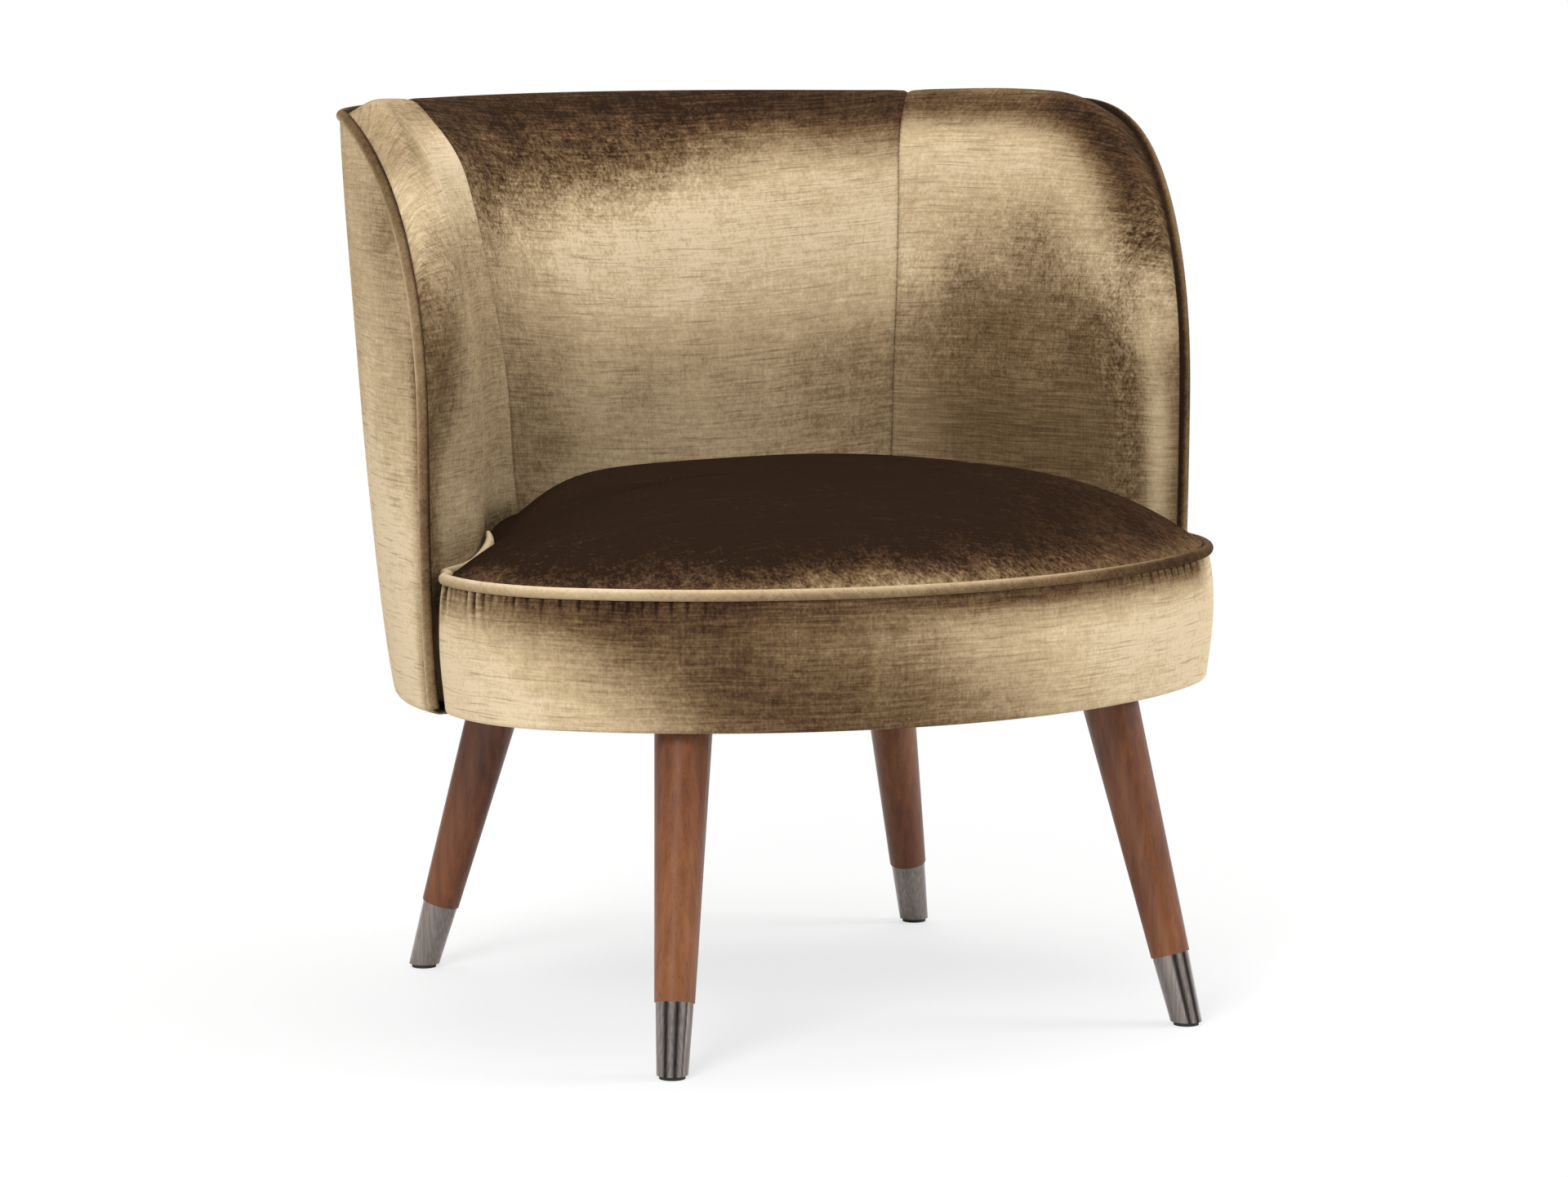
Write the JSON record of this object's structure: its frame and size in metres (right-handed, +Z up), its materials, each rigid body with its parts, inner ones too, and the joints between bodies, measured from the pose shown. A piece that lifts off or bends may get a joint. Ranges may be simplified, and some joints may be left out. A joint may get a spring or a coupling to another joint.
{
  "type": "upholstered tub easy chair",
  "caption": "Low-backed tub easy chair: curved winged back with a rolled inner edge, crowned fixed seat, piped edges and splayed round tapered legs with metal ferrules.",
  "frame": {"origin": "on the floor, under the centre of the chair's bounding box", "axes": "+Z up, -Y towards the sitter's feet (the front), +X towards the sitter's left"},
  "size_m": [0.6982, 0.6524, 0.7205],
  "materials": {
    "leg_wood": "turned hardwood, reddish walnut stain, satin lacquer",
    "ferrule_metal": "polished dark nickel",
    "glide_plastic": "moulded black",
    "zinc_steel": "zinc plated",
    "frame_timber": "sawn hardwood and plywood, unfinished",
    "lining_board": "thin fibreboard",
    "hessian_cloth": "open jute weave",
    "web_strap": "woven elastic strap",
    "foam": "open-cell foam",
    "wadding": "polyester wadding",
    "velvet_piping": "covered cord in the same pile cloth",
    "velvet_shell": "crushed slub pile cloth, champagne gold",
    "velvet_inside": "crushed slub pile cloth, champagne gold",
    "velvet_seat": "crushed slub pile cloth seen dark against its pile",
    "velvet_border": "crushed slub pile cloth, champagne gold",
    "dust_cloth": "black non-woven"
  },
  "bodies": {
    "root": {"back_bottom_rail": "frame_timber", "back_centre_cover": "velvet_inside", "back_foam": "foam", "back_hessian": "hessian_cloth", "back_left_ferrule": "ferrule_metal", "back_left_glide": "glide_plastic", "back_left_leg": "leg_wood", "back_left_leg_block": "frame_timber", "back_outer_lining": "lining_board", "back_piping": "velvet_piping", "back_right_ferrule": "ferrule_metal", "back_right_glide": "glide_plastic", "back_right_leg": "leg_wood", "back_right_leg_block": "frame_timber", "back_top_rail": "frame_timber", "cross_webbing": "web_strap", "dust_cover": "dust_cloth", "frame_bolts": "zinc_steel", "front_left_ferrule": "ferrule_metal", "front_left_glide": "glide_plastic", "front_left_leg": "leg_wood", "front_left_leg_block": "frame_timber", "front_right_ferrule": "ferrule_metal", "front_right_glide": "glide_plastic", "front_right_leg": "leg_wood", "front_right_leg_block": "frame_timber", "hanger_bolts": "zinc_steel", "left_back_upright": "frame_timber", "left_corner_rail": "frame_timber", "left_outer_lining": "lining_board", "left_side_cover": "velvet_inside", "left_side_foam": "foam", "left_side_rail": "frame_timber", "left_side_upright": "frame_timber", "left_wing_edge_foam": "foam", "left_wing_post": "frame_timber", "leg_t_nuts": "zinc_steel", "lengthwise_webbing": "web_strap", "outer_back_cover": "velvet_shell", "right_back_upright": "frame_timber", "right_corner_rail": "frame_timber", "right_outer_lining": "lining_board", "right_side_cover": "velvet_inside", "right_side_foam": "foam", "right_side_rail": "frame_timber", "right_side_upright": "frame_timber", "right_wing_edge_foam": "foam", "right_wing_post": "frame_timber", "seat_back_rail": "frame_timber", "seat_foam": "foam", "seat_front_board": "lining_board", "seat_front_cover": "velvet_border", "seat_front_rail": "frame_timber", "seat_front_wadding": "wadding", "seat_piping": "velvet_piping", "seat_top_cover": "velvet_seat"}
  },
  "joints": []
}
